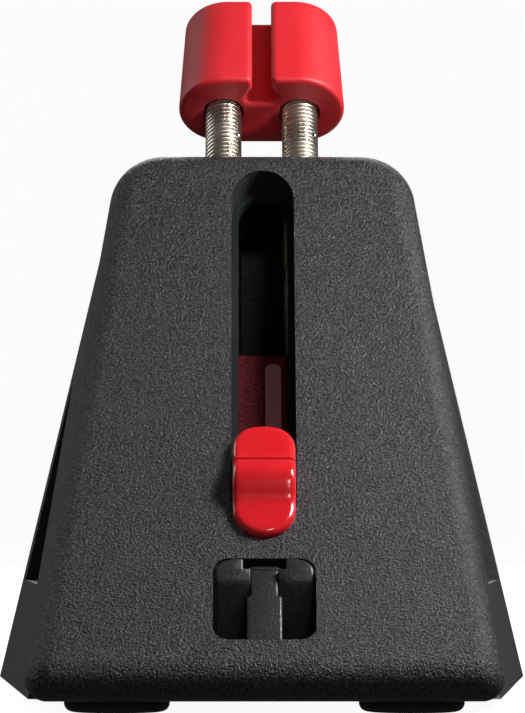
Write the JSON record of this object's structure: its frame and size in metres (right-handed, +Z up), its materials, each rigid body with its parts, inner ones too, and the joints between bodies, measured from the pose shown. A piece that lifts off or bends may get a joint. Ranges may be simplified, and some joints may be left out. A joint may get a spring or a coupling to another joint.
{
  "type": "desktop mouse cord holder",
  "caption": "Weighted pyramid stand with a sliding carriage that carries a soft cord clip on two close-wound springs, with a clip for the cord low on the rear face.",
  "frame": {"origin": "centre of the object's bounding box at the level it stands on", "axes": "+Z up, -Y towards the slider and lower cord guide, +Y towards the mouse, X across, left-right symmetric"},
  "size_m": [0.0807, 0.0934, 0.1067],
  "materials": {
    "textured_black": "moulded plastic with a coarse spark texture",
    "satin_black": "moulded plastic with a fine satin texture",
    "track_black": "smooth low-friction plastic",
    "gloss_black": "smooth soft-touch plastic with a sheen",
    "foot_rubber": "plain moulded rubber",
    "ballast_iron": "cast, bare",
    "screw_steel": "zinc plated",
    "dark_red": "moulded plastic with a fine texture",
    "pad_plastic": "smooth low-friction plastic",
    "gloss_red": "polished",
    "leaf_plastic": "smooth",
    "spring_steel": "bright nickel-plated wire",
    "red_rubber": "soft matte moulded rubber"
  },
  "bodies": {
    "housing": {"rear_cover": "textured_black", "front_shell": "satin_black", "slide_track": "track_black", "track_screws": "screw_steel", "spring_guide": "track_black", "cord_guide": "gloss_black", "base_plate": "satin_black", "foot_rear_left": "foot_rubber", "foot_rear_right": "foot_rubber", "foot_front_left": "foot_rubber", "foot_front_right": "foot_rubber", "ballast_weight": "ballast_iron", "ballast_screws": "screw_steel", "base_screws": "screw_steel"},
    "slider": {"carriage": "dark_red", "carriage_cap": "dark_red", "carriage_screws": "screw_steel", "glide_pads": "pad_plastic", "slider_knob": "gloss_red", "knob_screw": "screw_steel", "friction_leaf": "leaf_plastic", "leaf_rivets": "screw_steel", "lower_plugs": "screw_steel"},
    "spring_link": {"left_spring": "spring_steel", "right_spring": "spring_steel"},
    "clip": {"cord_clip": "red_rubber", "upper_plugs": "screw_steel"}
  },
  "joints": [
    {"name": "height_slide", "type": "slide", "parent": "housing", "child": "slider", "axis": [0, 0.6157, 0.788], "range_m": [0, 0.028]},
    {"name": "clip_nod", "type": "hinge", "parent": "slider", "child": "spring_link", "pos_m": [0, 0.02686, 0.08316], "axis": [1, 0, 0], "range_deg": [-25, 35], "stiffness_Nm_per_rad": 0.15, "deforming": ["left_spring", "right_spring"]},
    {"name": "clip_sway", "type": "hinge", "parent": "spring_link", "child": "clip", "pos_m": [0, 0.02871, 0.08553], "axis": [0, 0.788, -0.6157], "range_deg": [-18, 18], "stiffness_Nm_per_rad": 0.15}
  ]
}
